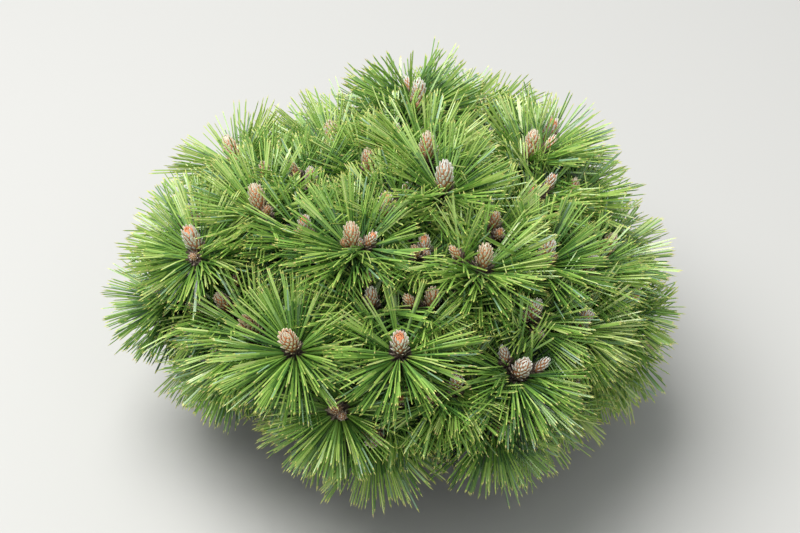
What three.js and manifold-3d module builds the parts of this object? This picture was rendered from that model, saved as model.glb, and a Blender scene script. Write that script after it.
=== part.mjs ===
// Banderica Bosnian pine: a dwarf, mounded pine about half a metre wide, rooted in the ground.
// Millimetres, +Z up, origin in the middle of the flat cut under the trunk.
// One short trunk carries three whorls of boughs. Each bough ends in a mass of foliage: a stem that
// forks into two or three shoots, every shoot a slim core with sprays of needles and a bud at its tip.
import * as THREE from "three";
import { mergeVertices } from "three/addons/utils/BufferGeometryUtils.js";
import Module from "manifold-3d";

const wasm = await Module();
wasm.setup();

const GAP = 0.3;

// The crown: the buds sit on an oblate dome, and the needles reach one needle length beyond it.
const DOME_RADIUS = 193;
const DOME_HALF_HEIGHT = 116;
const DOME_CENTRE_HEIGHT = 126;
const NEEDLE_LENGTH = 58;

// The trunk.
const TRUNK_HEIGHT = 136;
const TRUNK_TIP_RADIUS = 8.5;
const TRUNK_FOOT_RADIUS = 19;
const FLARE_RADIUS = 9;
const FLARE_HEIGHT = 13;
const FLARE_LOBES = 5;
const FLARE_LOBE_DEPTH = 0.32;
const FLARE_LOBE_TURN = 0.6;
const TRUNK_TAPER_POWER = 0.85;
const TRUNK_LEAN = new THREE.Vector2(5, -7);
const TRUNK_SIDES = 15;
const TRUNK_RINGS = [0, 7, 18, 36, 66, 100, TRUNK_HEIGHT];

// The boughs.
const BOUGH_BASE_RADIUS = 5.2;
const BOUGH_TIP_RADIUS = 3.5;
const BOUGH_SIDES = 6;
const BOUGH_STEPS = 3;
const BOUGH_LIFT = 0.35;
const BOUGH_BOW = 0.45;

// The twigs and shoots of one mass.
const MASS_DEPTH = 72;
const STEM_LENGTH = 14;
const STEM_RADIUS = 3.2;
const STEM_SINK = 2;
const TWIG_RADIUS = 2.6;
const CORE_FOOT_RADIUS = 3.6;
const SHOOT_RADIUS = 4.7;
const SHOOT_SIDES = 5;
const NEEDLE_ZONE = 30;
const BUD_RADIUS = 7;
const BUD_FOOT = -1;
const BUD_BELLY = 8;
const BUD_TIP = 27;
const BUD_TIP_RADIUS = 1;
const SHOOT_SPREAD = 31;
const SHOOT_SPREAD_WAVER = 0.28;
const SHOOT_BEARING_WAVER = 24;
const SHOOT_LEAD = 9;
const SHOOT_HOLD_BACK = 4;
const SHOOT_REACH_WAVER = 8;
const SHOOT_UPTURN = 0.4;
const SHOOT_UPTURN_RANGE = 0.22;
const SHOOT_UPTURN_WAVER = 0.16;
const SHOOT_SPACING = 47;
const SPACING_ROUNDS = 24;
const SPACING_PUSH = 0.3;
const SPACING_RETURN = 0.03;

// The sprays of needles on one shoot, from those round the bud down to the oldest.
const SPRAYS = 12;
const SPRAY_HALF_WIDTH = 2.4;
const SPRAY_HALF_DEPTH = 1.2;
const SPRAY_ROOT = 3.5;
const SPRAY_FIRST = 2;
const SPRAY_LAST = 28;
const SPRAY_TOP_ANGLE = 36;
const SPRAY_ANGLE_RANGE = 66;
const SPRAY_ANGLE_POWER = 0.75;
const SPRAY_WAVER = 16;
const SPRAY_LENGTH_WAVER = 0.12;
const SPRAY_TRIES = 5;
const SPRAY_TURN_UP = 11;
const SPRAY_TRIM = 0.08;
const SPRAY_ID_STEP = 31;
const SPACE_MARGIN = 0.8;
const SPACE_SAMPLES = 8;

// Each row is one mass: its turn round the crown and its rise up the dome in degrees, how far it
// grows past the dome, the turn of its first shoot about the mass, and its number of shoots.
// Turn -90 is the front. Every second bough of a whorl leaves the trunk a little higher.
const WHORLS = [
  { name: "crown", height: 101, stagger: 7, masses: [
    [-114, 63, 1, 302, 3], [-56, 66, 2, 70, 3], [8, 49, -3, 30, 3], [50, 40, -12, 210, 3],
    [80, 48, -1, 90, 3], [130, 46, -28, 90, 3], [180, 59, -6, 330, 3],
  ] },
  { name: "flank", height: 65, stagger: 9, masses: [
    [-168, 23, 6, 30, 3], [-142, 22, -16, 30, 3], [-112, 20, 0, 135, 2], [-90, 45, 0, 264, 3],
    [-55, 45, 2, 127, 2], [-33, 34, 2, 120, 3], [0, 27, -18, 180, 2], [28, 16, -28, 30, 3],
    [61, 18, -8, 90, 3], [92, 16, -26, 30, 3], [124, 16, -42, 90, 3], [153, 24, -17, 150, 3],
  ] },
  { name: "skirt", height: 31, stagger: 8, masses: [
    [-175, -18, -24, 0, 2], [-122, -8, -48, 0, 2], [-91, 5, -26, 242, 2], [-68, 12, -2, 38, 3],
    [-45, -16, -24, 180, 2], [-18, -6, -5, 315, 3], [12, -30, -14, 0, 2], [62, -32, -12, 0, 2],
    [105, -32, -14, 0, 2], [150, -30, -14, 0, 2],
  ] },
];
const TOP_MASS = [90, 83, -2, 150, 3];

const BARK = { color: "#6d6055", roughness: 0.92, metalness: 0 };
const FOLIAGE = { color: "#6c9140", roughness: 0.62, metalness: 0 };

const UP = new THREE.Vector3(0, 0, 1);
const MERGE_DISTANCE = 1e-4;
const radians = THREE.MathUtils.degToRad;

// What varies from shoot to shoot and from spray to spray, each with its own row of random numbers.
const VARIES = { bearing: 1, spread: 2, reach: 3, upturn: 4, turn: 5, length: 6 };

// A repeatable number from -0.5 to 0.5 for item n of a kind.
function waver(n, kind) {
  const v = Math.sin(n * 12.9898 + kind * 78.233) * 43758.5453;
  return v - Math.floor(v) - 0.5;
}

// Places on the dome, measured from the dome's centre.
function domePoint(turn, rise) {
  const level = DOME_RADIUS * Math.cos(rise);
  const height = DOME_HALF_HEIGHT * Math.sin(rise);
  return new THREE.Vector3(level * Math.cos(turn), level * Math.sin(turn), height);
}

function domeLevel(p) {
  return Math.sqrt((p.x ** 2 + p.y ** 2) / DOME_RADIUS ** 2 + p.z ** 2 / DOME_HALF_HEIGHT ** 2);
}

function domeNormal(p) {
  const wide = DOME_RADIUS ** 2;
  return new THREE.Vector3(p.x / wide, p.y / wide, p.z / DOME_HALF_HEIGHT ** 2).normalize();
}

// Lower shoots lean further out, and the ones near the top stand almost upright.
function growthDirection(p, id) {
  const height = THREE.MathUtils.clamp(p.z / DOME_HALF_HEIGHT, -1, 1);
  const upturn = SHOOT_UPTURN + SHOOT_UPTURN_RANGE * height + SHOOT_UPTURN_WAVER * waver(id, VARIES.upturn);
  return domeNormal(p).multiplyScalar(1 - upturn).addScaledVector(UP, upturn).normalize();
}

// A level direction square to the way from one place to another.
function levelAcross(from, to) {
  const across = new THREE.Vector3(from.y - to.y, to.x - from.x, 0);
  return across.length() > 1 ? across.normalize() : new THREE.Vector3(1, 0, 0);
}

function trunkAxis(z) {
  const t = (z / TRUNK_HEIGHT) ** 2;
  return new THREE.Vector3(TRUNK_LEAN.x * t, TRUNK_LEAN.y * t, z);
}

function trunkRadius(z, angle) {
  const flare = Math.exp(-z / FLARE_HEIGHT);
  const t = (z / TRUNK_HEIGHT) ** TRUNK_TAPER_POWER;
  const taper = THREE.MathUtils.lerp(TRUNK_FOOT_RADIUS, TRUNK_TIP_RADIUS, t);
  const lobes = 1 + FLARE_LOBE_DEPTH * Math.cos(FLARE_LOBES * angle + FLARE_LOBE_TURN);
  return taper + FLARE_RADIUS * flare * lobes;
}

// The crown's plan: every mass with the place of each of its shoots. The first shoot leads, and the
// others are held back behind it, so that its whorl of needles lies over theirs.
function planMass(row, name, foot, firstShoot) {
  const [turn, rise, reach, spin, count] = row;
  const middle = domePoint(radians(turn), radians(rise));
  const across = new THREE.Vector3(-Math.sin(radians(turn)), Math.cos(radians(turn)), 0);
  const upslope = new THREE.Vector3().crossVectors(domeNormal(middle), across);
  const shoots = [];
  for (let i = 0; i < count; i++) {
    const id = firstShoot + i;
    const bearing = radians(spin + (i * 360) / count + SHOOT_BEARING_WAVER * waver(id, VARIES.bearing));
    const distance = SHOOT_SPREAD * (1 + SHOOT_SPREAD_WAVER * waver(id, VARIES.spread));
    const home = middle.clone()
      .addScaledVector(across, distance * Math.cos(bearing))
      .addScaledVector(upslope, distance * Math.sin(bearing));
    home.divideScalar(domeLevel(home));
    const lead = i === 0 ? SHOOT_LEAD : -SHOOT_HOLD_BACK;
    const shootReach = reach + lead + SHOOT_REACH_WAVER * waver(id, VARIES.reach);
    shoots.push({ id, home, place: home.clone(), reach: shootReach });
  }
  const centre = middle.clone().addScaledVector(domeNormal(middle), reach);
  centre.z += DOME_CENTRE_HEIGHT;
  return { name, foot, centre, shoots };
}

function planCrown() {
  const masses = [planMass(TOP_MASS, "top", trunkAxis(TRUNK_HEIGHT), 0)];
  let planned = masses[0].shoots.length;
  for (const whorl of WHORLS) {
    whorl.masses.forEach((row, i) => {
      const height = whorl.height + (i % 2 ? whorl.stagger : -whorl.stagger);
      masses.push(planMass(row, `${whorl.name}_${i + 1}`, trunkAxis(height), planned));
      planned += row[4];
    });
  }
  return masses;
}

// Shoots that stand too close push each other apart along the dome, as they do growing to the light.
function spaceShoots(shoots) {
  for (let round = 0; round < SPACING_ROUNDS; round++) {
    const steps = shoots.map((shoot) => {
      const step = shoot.home.clone().sub(shoot.place).multiplyScalar(SPACING_RETURN);
      for (const other of shoots) {
        const away = shoot.place.clone().sub(other.place);
        const distance = away.length();
        if (other !== shoot && distance < SHOOT_SPACING) {
          step.addScaledVector(away, (SPACING_PUSH * (SHOOT_SPACING - distance)) / distance);
        }
      }
      return step;
    });
    shoots.forEach((shoot, i) => {
      shoot.place.add(steps[i]);
      shoot.place.divideScalar(domeLevel(shoot.place));
    });
  }
}

// The bough's tip, the fork and the shoots' axes of one mass, now in the plant's frame.
function growSkeleton(mass) {
  const out = mass.centre.clone().sub(mass.foot).normalize();
  mass.direction = out.addScaledVector(UP, BOUGH_LIFT).normalize();
  if (mass.name === "top") {
    mass.direction = UP.clone();
    mass.root = mass.foot.clone();
    mass.fork = mass.foot.clone().addScaledVector(UP, 2 * STEM_LENGTH);
  } else {
    mass.root = mass.centre.clone().addScaledVector(mass.direction, -MASS_DEPTH);
    mass.fork = mass.root.clone().addScaledVector(mass.direction, STEM_LENGTH);
  }
  for (const shoot of mass.shoots) {
    shoot.axis = growthDirection(shoot.place, shoot.id);
    shoot.collar = shoot.place.clone().addScaledVector(domeNormal(shoot.place), shoot.reach);
    shoot.collar.z += DOME_CENTRE_HEIGHT;
    shoot.start = shoot.collar.clone().addScaledVector(shoot.axis, -NEEDLE_ZONE);
    shoot.across = levelAcross(mass.fork, shoot.collar);
  }
  mass.rods = [{ from: mass.root, to: mass.fork, radius: STEM_RADIUS }];
  for (const shoot of mass.shoots) {
    const tip = shoot.collar.clone().addScaledVector(shoot.axis, BUD_TIP);
    shoot.core = { from: shoot.start, to: tip, radius: SHOOT_RADIUS };
    mass.rods.push({ from: mass.fork, to: shoot.start, radius: TWIG_RADIUS }, shoot.core);
  }
}

// Solids. Every one is a closed three.js geometry, so it can be joined and cut.
function solidFrom(geometry) {
  geometry.deleteAttribute("normal");
  geometry.deleteAttribute("uv");
  const merged = mergeVertices(geometry, MERGE_DISTANCE);
  return new wasm.Manifold(new wasm.Mesh({
    numProp: 3,
    vertProperties: new Float32Array(merged.attributes.position.array),
    triVerts: new Uint32Array(merged.index.array),
  }));
}

function meshFrom(solid, name, finish) {
  const { vertProperties, triVerts } = solid.getMesh();
  const geometry = new THREE.BufferGeometry();
  geometry.setAttribute("position", new THREE.BufferAttribute(vertProperties, 3));
  geometry.setIndex(new THREE.BufferAttribute(triVerts, 1));
  geometry.computeVertexNormals();
  const mesh = new THREE.Mesh(geometry, new THREE.MeshStandardMaterial(finish));
  mesh.name = name;
  return mesh;
}

// A cylinder bent through a row of stations, each with its place, its radius and, where that matters,
// the way its ring faces. A level direction across it keeps it from twisting.
function rodThrough(stations, sides, across) {
  const steps = stations.length - 1;
  const geometry = new THREE.CylinderGeometry(1, 1, 1, sides, steps);
  const position = geometry.attributes.position;
  for (let i = 0; i < position.count; i++) {
    const k = Math.round((position.getY(i) + 0.5) * steps);
    const before = stations[Math.max(k - 1, 0)].place;
    const after = stations[Math.min(k + 1, steps)].place;
    const along = stations[k].facing ?? after.clone().sub(before).normalize();
    const side = new THREE.Vector3().crossVectors(along, across).normalize();
    const other = new THREE.Vector3().crossVectors(side, along);
    const point = stations[k].place.clone()
      .addScaledVector(side, position.getX(i) * stations[k].radius)
      .addScaledVector(other, position.getZ(i) * stations[k].radius);
    position.setXYZ(i, point.x, point.y, point.z);
  }
  return solidFrom(geometry);
}

function trunkSolid(extra) {
  const steps = TRUNK_RINGS.length - 1;
  const geometry = new THREE.CylinderGeometry(1, 1, 1, TRUNK_SIDES, steps);
  const position = geometry.attributes.position;
  for (let i = 0; i < position.count; i++) {
    const z = TRUNK_RINGS[Math.round((position.getY(i) + 0.5) * steps)];
    const away = Math.hypot(position.getX(i), position.getZ(i));
    const angle = Math.atan2(-position.getZ(i), position.getX(i));
    const radius = away > 0.5 ? trunkRadius(z, angle) + extra : 0;
    const middle = trunkAxis(z);
    const x = middle.x + radius * Math.cos(angle);
    const y = middle.y + radius * Math.sin(angle);
    position.setXYZ(i, x, y, middle.z);
  }
  return solidFrom(geometry);
}

function boughCurve(mass) {
  const length = mass.root.distanceTo(mass.foot);
  const bend = mass.root.clone().addScaledVector(mass.direction, -BOUGH_BOW * length);
  return new THREE.QuadraticBezierCurve3(mass.foot, bend, mass.root);
}

function boughSolid(mass, trunkCut) {
  const stations = boughCurve(mass).getPoints(BOUGH_STEPS).map((place, i) => (
    { place, radius: THREE.MathUtils.lerp(BOUGH_BASE_RADIUS, BOUGH_TIP_RADIUS, i / BOUGH_STEPS) }));
  stations[BOUGH_STEPS].facing = mass.direction;
  return rodThrough(stations, BOUGH_SIDES, levelAcross(mass.foot, mass.root)).subtract(trunkCut);
}

// A twig that leaves the fork, thickens into the slim core under the needles and ends in its bud.
function shootSolid(mass, shoot) {
  const along = (distance) => shoot.collar.clone().addScaledVector(shoot.axis, distance);
  return rodThrough([
    { place: mass.fork, radius: TWIG_RADIUS },
    { place: shoot.start, radius: CORE_FOOT_RADIUS },
    { place: along(BUD_FOOT), radius: SHOOT_RADIUS },
    { place: along(BUD_BELLY), radius: BUD_RADIUS },
    { place: along(BUD_TIP), radius: BUD_TIP_RADIUS },
  ], SHOOT_SIDES, shoot.across);
}

function stemSolid(mass) {
  return rodThrough([
    { place: mass.root.clone().addScaledVector(mass.direction, GAP), radius: STEM_RADIUS },
    { place: mass.fork.clone().addScaledVector(mass.direction, STEM_SINK), radius: STEM_RADIUS },
  ], BOUGH_SIDES, levelAcross(mass.foot, mass.root));
}

// A spray is a long, flat, three-sided spike, broad across and thin along its shoot.
function spraySolid(from, direction, length, across) {
  const spike = new THREE.ConeGeometry(1, length, 3);
  spike.scale(SPRAY_HALF_WIDTH, 1, SPRAY_HALF_DEPTH);
  spike.translate(0, length / 2, 0);
  const depth = new THREE.Vector3().crossVectors(across, direction);
  spike.applyMatrix4(new THREE.Matrix4().makeBasis(across, direction, depth).setPosition(from));
  return solidFrom(spike);
}

// How far a point lies outside a set of round-ended rods.
function distanceToRods(point, rods) {
  const line = new THREE.Line3();
  const nearest = new THREE.Vector3();
  let least = Infinity;
  for (const rod of rods) {
    line.set(rod.from, rod.to).closestPointToPoint(point, true, nearest);
    least = Math.min(least, nearest.distanceTo(point) - rod.radius);
  }
  return least;
}

// A shoot's space is what lies nearer to it than to any other shoot or twig, clear of limbs and ground.
function insideSpace(from, to, shoot, twigs, limbs) {
  const point = new THREE.Vector3();
  for (let step = 2; step <= SPACE_SAMPLES; step++) {
    const t = step / SPACE_SAMPLES;
    point.lerpVectors(from, to, t);
    const radius = SPRAY_HALF_WIDTH * (1 - t);
    if (point.z < radius + SPACE_MARGIN) return false;
    if (distanceToRods(point, limbs) < radius + SPACE_MARGIN) return false;
    const spare = distanceToRods(point, twigs) - distanceToRods(point, [shoot.core]);
    if (spare < 2 * radius + SPACE_MARGIN) return false;
  }
  return true;
}

// Sprays wind up the shoot two of its flats at a time, each rooted in the middle of a flat. One that
// would leave the shoot's space is turned up and trimmed, a few times over, and then skipped.
function spraySolids(shoot, twigs, limbs) {
  const side = new THREE.Vector3().crossVectors(shoot.axis, shoot.across).normalize();
  const other = new THREE.Vector3().crossVectors(side, shoot.axis);
  const around = (angle) => (
    side.clone().multiplyScalar(Math.sin(angle)).addScaledVector(other, Math.cos(angle)));
  const sprays = [];
  for (let j = 0; j < SPRAYS; j++) {
    const age = (j + 0.5) / SPRAYS;
    const flat = (2 * Math.PI * (2 * j + 0.5)) / SHOOT_SIDES;
    const id = shoot.id * SPRAY_ID_STEP + j;
    const outward = around(flat + radians(SPRAY_WAVER * waver(id, VARIES.turn)));
    const skin = THREE.MathUtils.lerp(SHOOT_RADIUS, CORE_FOOT_RADIUS, age) * Math.cos(Math.PI / SHOOT_SIDES);
    const root = shoot.collar.clone()
      .addScaledVector(shoot.axis, -THREE.MathUtils.lerp(SPRAY_FIRST, SPRAY_LAST, age))
      .addScaledVector(around(flat), skin);
    const across = new THREE.Vector3().crossVectors(outward, shoot.axis).normalize();
    for (let attempt = 0; attempt < SPRAY_TRIES; attempt++) {
      const spread = SPRAY_TOP_ANGLE + SPRAY_ANGLE_RANGE * age ** SPRAY_ANGLE_POWER;
      const open = radians(spread - SPRAY_TURN_UP * attempt);
      const full = NEEDLE_LENGTH * (1 + SPRAY_LENGTH_WAVER * waver(id, VARIES.length));
      const length = full * (1 - SPRAY_TRIM * attempt);
      const along = shoot.axis.clone().multiplyScalar(Math.cos(open));
      const direction = along.addScaledVector(outward, Math.sin(open));
      const from = root.clone().addScaledVector(direction, -SPRAY_ROOT);
      const to = from.clone().addScaledVector(direction, length);
      if (insideSpace(from, to, shoot, twigs, limbs)) {
        sprays.push(spraySolid(from, direction, length, across));
        break;
      }
    }
  }
  return sprays;
}

function massSolid(mass, rods, limbs) {
  const pieces = [stemSolid(mass)];
  for (const shoot of mass.shoots) {
    const twigs = rods.filter((rod) => rod !== shoot.core && rod.to !== shoot.core.from);
    pieces.push(shootSolid(mass, shoot));
    pieces.push(...spraySolids(shoot, twigs, limbs));
  }
  return outerBody(wasm.Manifold.union(pieces));
}

// Joining can seal small hollows between twigs: the outermost skin alone is kept, so they are filled.
function outerBody(solid) {
  return solid.decompose().reduce((most, part) => (part.volume() > most.volume() ? part : most));
}

// The limbs as rods, for the sprays to keep clear of.
function limbRods(masses) {
  const rods = [];
  for (let i = 1; i < TRUNK_RINGS.length; i++) {
    const radius = trunkRadius(TRUNK_RINGS[i - 1], -FLARE_LOBE_TURN / FLARE_LOBES);
    rods.push({ from: trunkAxis(TRUNK_RINGS[i - 1]), to: trunkAxis(TRUNK_RINGS[i]), radius });
  }
  for (const mass of masses.filter((m) => m.name !== "top")) {
    const points = boughCurve(mass).getPoints(BOUGH_STEPS);
    for (let i = 1; i < points.length; i++) {
      rods.push({ from: points[i - 1], to: points[i], radius: BOUGH_BASE_RADIUS });
    }
  }
  return rods;
}

const masses = planCrown();
spaceShoots(masses.flatMap((mass) => mass.shoots));
masses.forEach(growSkeleton);
const limbs = limbRods(masses);

const group = new THREE.Group();
group.add(meshFrom(trunkSolid(0), "trunk", BARK));
const trunkCut = trunkSolid(GAP);
const rods = masses.flatMap((mass) => mass.rods);
for (const mass of masses) {
  if (mass.name !== "top") group.add(meshFrom(boughSolid(mass, trunkCut), `bough_${mass.name}`, BARK));
  group.add(meshFrom(massSolid(mass, rods, limbs), `foliage_${mass.name}`, FOLIAGE));
}

export default group;
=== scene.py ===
# %% [markdown]
# This scene dresses a dwarf, mounded pine in its needles, buds and bark. The solids that come with the
# frame hold its limbs and its reach. Here every solid gives way to the finer thing that it stands for:
# some thirty-six thousand needles in pairs, scaly winter buds, and bark with its own relief.
# All lengths are millimetres until a mesh is made, because a needle is easier to think of as 55 than 0.055.

# %% The frame
import math

import bpy
import numpy as np
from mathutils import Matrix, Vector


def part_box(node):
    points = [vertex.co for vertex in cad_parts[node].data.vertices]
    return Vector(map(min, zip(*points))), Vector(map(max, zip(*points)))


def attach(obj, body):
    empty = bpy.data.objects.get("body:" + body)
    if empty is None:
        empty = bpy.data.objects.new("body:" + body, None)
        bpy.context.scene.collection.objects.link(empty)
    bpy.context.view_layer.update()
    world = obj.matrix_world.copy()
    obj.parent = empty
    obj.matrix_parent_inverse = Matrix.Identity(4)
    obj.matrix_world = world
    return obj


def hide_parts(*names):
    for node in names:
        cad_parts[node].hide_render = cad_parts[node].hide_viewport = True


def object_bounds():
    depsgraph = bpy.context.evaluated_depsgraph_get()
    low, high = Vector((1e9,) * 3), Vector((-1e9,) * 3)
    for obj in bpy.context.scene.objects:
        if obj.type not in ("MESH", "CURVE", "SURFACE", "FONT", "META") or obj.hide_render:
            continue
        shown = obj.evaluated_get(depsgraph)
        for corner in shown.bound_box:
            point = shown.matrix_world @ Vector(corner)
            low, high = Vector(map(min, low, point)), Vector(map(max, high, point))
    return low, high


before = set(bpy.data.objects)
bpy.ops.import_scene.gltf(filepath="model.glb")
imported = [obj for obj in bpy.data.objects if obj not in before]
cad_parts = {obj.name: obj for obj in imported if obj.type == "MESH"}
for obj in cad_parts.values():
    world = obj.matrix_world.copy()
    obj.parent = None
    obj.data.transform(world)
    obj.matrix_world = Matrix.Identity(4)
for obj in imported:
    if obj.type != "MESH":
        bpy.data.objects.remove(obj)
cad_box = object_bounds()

MM = 0.001
UP = np.array([0.0, 0.0, 1.0])
box_low = np.array(cad_box[0]) / MM
box_high = np.array(cad_box[1]) / MM
print("solids:", len(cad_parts), "box in mm:", box_low.round(1), box_high.round(1))

# %% [markdown]
# The camera stands where the photographer stood: looking down at 40 degrees from two metres away. It comes
# first, so that each piece can be judged through it. The lens follows from how large the plant is in the
# picture: a picture 800 pixels wide shows 0.83 mm of the plant in each pixel at that distance.

# %% Camera
PICTURE_WIDTH = 800
PICTURE_HEIGHT = 533
PIXEL_MM = 0.83
CAMERA_DISTANCE = 2000
CAMERA_ELEVATION = math.radians(40)
CROWN_MIDDLE = np.array([0.0, 0.0, 136.0])
CROWN_MIDDLE_ROW = 270
SENSOR_MM = 36


def make_camera():
    """The crown's middle falls on its row of the picture because the camera is tipped by the few pixels
    between that row and the picture's middle, at PIXEL_MM each."""
    back = np.array([0, -math.cos(CAMERA_ELEVATION), math.sin(CAMERA_ELEVATION)])
    data = bpy.data.cameras.new("camera")
    data.sensor_width = SENSOR_MM
    data.lens = SENSOR_MM * CAMERA_DISTANCE / (PICTURE_WIDTH * PIXEL_MM)
    camera = bpy.data.objects.new("camera", data)
    bpy.context.scene.collection.objects.link(camera)
    camera.location = (CROWN_MIDDLE + back * CAMERA_DISTANCE) * MM
    rows_down = CROWN_MIDDLE_ROW - PICTURE_HEIGHT / 2
    tip = math.atan(rows_down * PIXEL_MM / CAMERA_DISTANCE)
    camera.rotation_euler = (math.pi / 2 - CAMERA_ELEVATION + tip, 0, 0)
    bpy.context.scene.camera = camera
    return data.lens


print("lens in mm:", round(make_camera(), 1))

# %% [markdown]
# The plant grows by a rule, and the rule is written again here with the same numbers as the solids have, so
# that each shoot stands in its own solid. The buds sit on an oblate dome. Every row below is one mass of
# foliage: its turn round the crown and its rise up the dome in degrees, how far it grows past the dome, the
# turn of its first shoot, and its number of shoots. Every second bough of a whorl leaves a little higher.
# The first shoot of a mass leads, as the end of a real bough does, and its whorl lies over the others'.

# %% The plan of the crown
DOME_RADIUS = 193
DOME_HALF_HEIGHT = 116
DOME_CENTRE = np.array([0.0, 0.0, 126.0])
TRUNK_HEIGHT = 136
TRUNK_LEAN = np.array([5.0, -7.0, 0.0])
TOP_MASS = (90, 83, -2, 150, 3)
WHORLS = {
    "crown": (101, 7, [
        (-114, 63, 1, 302, 3), (-56, 66, 2, 70, 3), (8, 49, -3, 30, 3), (50, 40, -12, 210, 3),
        (80, 48, -1, 90, 3), (130, 46, -28, 90, 3), (180, 59, -6, 330, 3)]),
    "flank": (65, 9, [
        (-168, 23, 6, 30, 3), (-142, 22, -16, 30, 3), (-112, 20, 0, 135, 2), (-90, 45, 0, 264, 3),
        (-55, 45, 2, 127, 2), (-33, 34, 2, 120, 3), (0, 27, -18, 180, 2), (28, 16, -28, 30, 3),
        (61, 18, -8, 90, 3), (92, 16, -26, 30, 3), (124, 16, -42, 90, 3), (153, 24, -17, 150, 3)]),
    "skirt": (31, 8, [
        (-175, -18, -24, 0, 2), (-122, -8, -48, 0, 2), (-91, 5, -26, 242, 2), (-68, 12, -2, 38, 3),
        (-45, -16, -24, 180, 2), (-18, -6, -5, 315, 3), (12, -30, -14, 0, 2), (62, -32, -12, 0, 2),
        (105, -32, -14, 0, 2), (150, -30, -14, 0, 2)]),
}
VARIES = {"bearing": 1, "spread": 2, "reach": 3, "upturn": 4}
WAVER_NUMBER_STEP = 12.9898
WAVER_KIND_STEP = 78.233
WAVER_STEEPNESS = 43758.5453


def waver(number, kind):
    """A repeatable number from -0.5 to 0.5: the fraction of a very steep sine, less a half."""
    angle = np.asarray(number) * WAVER_NUMBER_STEP + VARIES[kind] * WAVER_KIND_STEP
    value = np.sin(angle) * WAVER_STEEPNESS
    return value - np.floor(value) - 0.5


def unit(vectors):
    """Each vector divided by its own length."""
    return vectors / np.linalg.norm(vectors, axis=-1, keepdims=True)


def turned(first, second, angle):
    """The first unit vector turned by an angle towards the second, which is square to it: first cos(angle)
    plus second sin(angle)."""
    return first * np.cos(angle) + second * np.sin(angle)


def trunk_axis(z):
    """The trunk leans by the square of the height: the lean times (z / height) squared, with z itself up."""
    z = np.asarray(z, float)
    return ((z / TRUNK_HEIGHT) ** 2)[..., None] * TRUNK_LEAN + z[..., None] * UP


def count_off(sizes):
    """For groups of these sizes: the group of each member, and its own number in that group, from 0."""
    group = np.repeat(np.arange(len(sizes)), sizes)
    return group, np.arange(len(group)) - np.repeat(np.cumsum(sizes) - sizes, sizes)


def plan_masses():
    """A list of masses: each one's name, the place on the trunk where its bough leaves, and its row."""
    masses = [("top", trunk_axis(TRUNK_HEIGHT), TOP_MASS)]
    for whorl, (height, stagger, rows) in WHORLS.items():
        for i, row in enumerate(rows):
            foot = trunk_axis(height + (stagger if i % 2 else -stagger))
            masses.append((f"{whorl}_{i + 1}", foot, row))
    return masses


masses = plan_masses()
mass_names = [name for name, foot, row in masses]
mass_foot = np.array([foot for name, foot, row in masses])
mass_row = np.array([row for name, foot, row in masses], float)
shoot_mass, shoot_rank = count_off(mass_row[:, 4].astype(int))
print("masses:", len(masses), "shoots:", len(shoot_mass))

# %% [markdown]
# Shoots crowd towards the light, and a crowded shoot bends away from its neighbours. That could be modelled
# as a simulation of growth; here a few rounds of pushing along the dome do it, which is quick and always
# gives the same crown. Each shoot is drawn back a little towards its home, so the masses stay apart.

# %% Shoots spread over the dome
SHOOT_SPREAD = 31
SHOOT_SPREAD_WAVER = 0.28
SHOOT_BEARING_WAVER = 24
SHOOT_LEAD = 9
SHOOT_HOLD_BACK = 4
SHOOT_REACH_WAVER = 8
SHOOT_SPACING = 47
SPACING_ROUNDS = 24
SPACING_PUSH = 0.3
SPACING_RETURN = 0.03
DOME_AXES = np.array([DOME_RADIUS, DOME_RADIUS, DOME_HALF_HEIGHT], float)


def dome_point(turn, rise):
    """A place on the dome: its half axes times the cosines and sine of turn and rise, in radians."""
    level = np.cos(rise)
    return np.stack([level * np.cos(turn), level * np.sin(turn), np.sin(rise)], -1) * DOME_AXES


def dome_level(places):
    """1 on the dome, more outside: the length of the place once it is divided by the half axes."""
    return np.linalg.norm(places / DOME_AXES, axis=-1, keepdims=True)


def dome_normal(places):
    """The way out of the dome: the place divided by the squares of the half axes, made a unit."""
    return unit(places / DOME_AXES ** 2)


def shoot_homes():
    """Each shoot stands a spread away from its mass's middle, at even bearings that waver a little. The
    first shoot of a mass leads, and the others are held back behind it."""
    number = np.arange(len(shoot_mass))
    lead = np.where(shoot_rank == 0, SHOOT_LEAD, -SHOOT_HOLD_BACK)
    turn, rise, reach, spin, count = mass_row[shoot_mass].T
    turn, rise = np.radians(turn), np.radians(rise)
    middle = dome_point(turn, rise)
    across = np.stack([-np.sin(turn), np.cos(turn), np.zeros_like(turn)], -1)
    upslope = np.cross(dome_normal(middle), across)
    step = shoot_rank * 360 / count
    bearing = np.radians(spin + step + SHOOT_BEARING_WAVER * waver(number, "bearing"))[:, None]
    distance = SHOOT_SPREAD * (1 + SHOOT_SPREAD_WAVER * waver(number, "spread"))[:, None]
    home = middle + distance * turned(across, upslope, bearing)
    return home / dome_level(home), reach + lead + SHOOT_REACH_WAVER * waver(number, "reach"), lead > 0


def space_shoots(home):
    """Every round each shoot moves off from nearer ones by a share of what the distance lacks."""
    place = home.copy()
    for _ in range(SPACING_ROUNDS):
        away = place[:, None] - place[None]
        distance = np.linalg.norm(away, axis=-1)
        np.fill_diagonal(distance, SHOOT_SPACING)
        push = np.clip(SHOOT_SPACING - distance, 0, None) * SPACING_PUSH / distance
        place = place + SPACING_RETURN * (home - place) + (away * push[..., None]).sum(1)
        place = place / dome_level(place)
    return place


shoot_home, shoot_reach, shoot_leads = shoot_homes()
shoot_place = space_shoots(shoot_home)
print("shoots moved by up to", np.linalg.norm(shoot_place - shoot_home, axis=1).max().round(1), "mm")

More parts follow.
